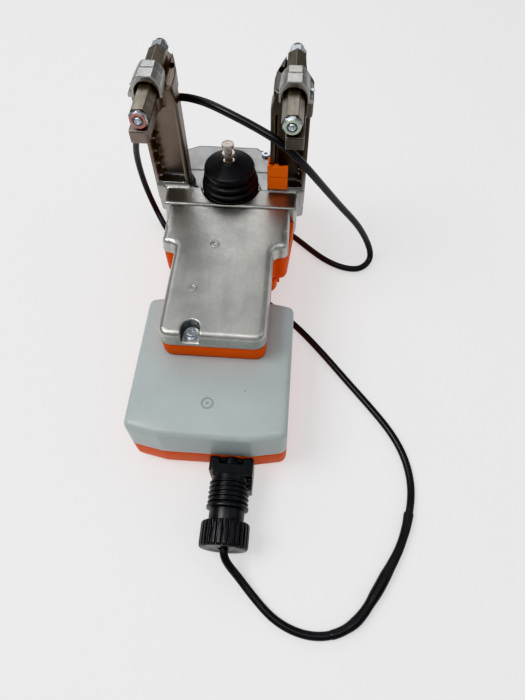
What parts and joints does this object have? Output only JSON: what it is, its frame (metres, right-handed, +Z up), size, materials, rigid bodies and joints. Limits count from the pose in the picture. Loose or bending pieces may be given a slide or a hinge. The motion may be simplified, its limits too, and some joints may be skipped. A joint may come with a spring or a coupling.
{
  "type": "linear valve actuator",
  "caption": "Motorised linear valve actuator with a plastic motor box, cast two-arm yoke, rubber bellows, rising spindle, stroke clips, cable gland and trailing lead.",
  "frame": {"origin": "stem axis, at the level of the surface that the actuator lies on (flat end of the spindle cover)", "axes": "+Z up along the stem away from the resting surface, +Y away from the gland end, +X to the right seen from the gland end"},
  "size_m": [0.218, 0.3369, 0.1634],
  "materials": {
    "orange_plastic": "moulded, fine satin grain",
    "grey_plastic": "moulded, satin",
    "cast_aluminium": "die cast, satin",
    "zinc_steel": "zinc plated",
    "sleeve_steel": "drawn hex bar",
    "spindle_steel": "turned and polished",
    "bellows_rubber": "satin",
    "seal_rubber": "matt",
    "black_plastic": "moulded, satin",
    "lead_jacket": "satin jacket",
    "wire_insulation": "satin",
    "bronze": "sintered",
    "gear_nylon": "moulded",
    "motor_can": "drawn can",
    "board_laminate": "solder mask",
    "terminal_green": "moulded",
    "board_parts": "moulded"
  },
  "bodies": {
    "root": {"case_lower": "orange_plastic", "case_upper": "grey_plastic", "case_seal": "seal_rubber", "case_screws": "zinc_steel", "mid_housing": "orange_plastic", "housing_screws": "zinc_steel", "gear_cover": "cast_aluminium", "cover_seal": "seal_rubber", "yoke_casting": "cast_aluminium", "cover_screw": "zinc_steel", "plate_screw": "zinc_steel", "saddle_left": "cast_aluminium", "saddle_right": "cast_aluminium", "saddle_screws": "zinc_steel", "clamp_studs": "zinc_steel", "front_sleeves": "sleeve_steel", "rear_sleeves": "sleeve_steel", "front_nuts": "zinc_steel", "rear_nuts": "zinc_steel", "bellows": "bellows_rubber", "spindle_bush": "bronze", "spindle_cover": "orange_plastic", "gear_bearing": "zinc_steel", "idler_axles": "zinc_steel", "motor": "motor_can", "motor_screws": "zinc_steel", "circuit_board": "board_laminate", "board_screws": "zinc_steel", "terminal_block": "terminal_green", "board_parts": "board_parts", "gland_bracket": "black_plastic", "gland_body": "black_plastic", "gland_seal": "seal_rubber", "lead": "lead_jacket", "splice_sleeve": "lead_jacket", "lead_wires": "wire_insulation"},
    "spindle_rod": {"spindle": "spindle_steel"},
    "drive_gear_wheel": {"drive_gear": "gear_nylon"},
    "idler_large_wheel": {"idler_gear_large": "gear_nylon"},
    "idler_small_wheel": {"idler_gear_small": "gear_nylon"},
    "pinion_shaft": {"motor_pinion": "bronze"},
    "lower_clip": {"clip_lower": "orange_plastic"},
    "upper_clip": {"clip_upper": "orange_plastic"},
    "cable_nut": {"gland_nut": "black_plastic"}
  },
  "joints": [
    {"name": "spindle_slide", "type": "slide", "parent": "root", "child": "spindle_rod", "axis": [0, 0, 1], "range_m": [0, 0.02], "deforming": ["bellows"]},
    {"name": "drive_gear_turn", "type": "hinge", "parent": "root", "child": "drive_gear_wheel", "pos_m": [0, 0, 0.056], "axis": [0, 0, 1], "range_deg": [-1, 361]},
    {"name": "idler_large_turn", "type": "hinge", "parent": "root", "child": "idler_large_wheel", "pos_m": [0, -0.047, 0.056], "axis": [0, 0, 1], "range_deg": [-487, 1]},
    {"name": "idler_small_turn", "type": "hinge", "parent": "root", "child": "idler_small_wheel", "pos_m": [0, -0.081, 0.056], "axis": [0, 0, 1], "range_deg": [-1, 696]},
    {"name": "pinion_turn", "type": "hinge", "parent": "root", "child": "pinion_shaft", "pos_m": [0, -0.102, 0.056], "axis": [0, 0, 1], "range_deg": [-1390, 1]},
    {"name": "lower_clip_slide", "type": "slide", "parent": "root", "child": "lower_clip", "axis": [0, 0, 1], "range_m": [0, 0.015]},
    {"name": "upper_clip_slide", "type": "slide", "parent": "lower_clip", "child": "upper_clip", "axis": [0, 0, 1], "range_m": [0, 0.015]},
    {"name": "cable_nut_turn", "type": "hinge", "parent": "root", "child": "cable_nut", "pos_m": [0.0172, -0.232, 0.0155], "axis": [0, -1, 0], "continuous": true}
  ],
  "couplings": [
    {"joint": "drive_gear_turn", "follows": "spindle_slide", "rad_per_m": 314.16},
    {"joint": "idler_large_turn", "follows": "spindle_slide", "rad_per_m": -424.12},
    {"joint": "idler_small_turn", "follows": "spindle_slide", "rad_per_m": 605.88},
    {"joint": "pinion_turn", "follows": "spindle_slide", "rad_per_m": -1211.8}
  ]
}
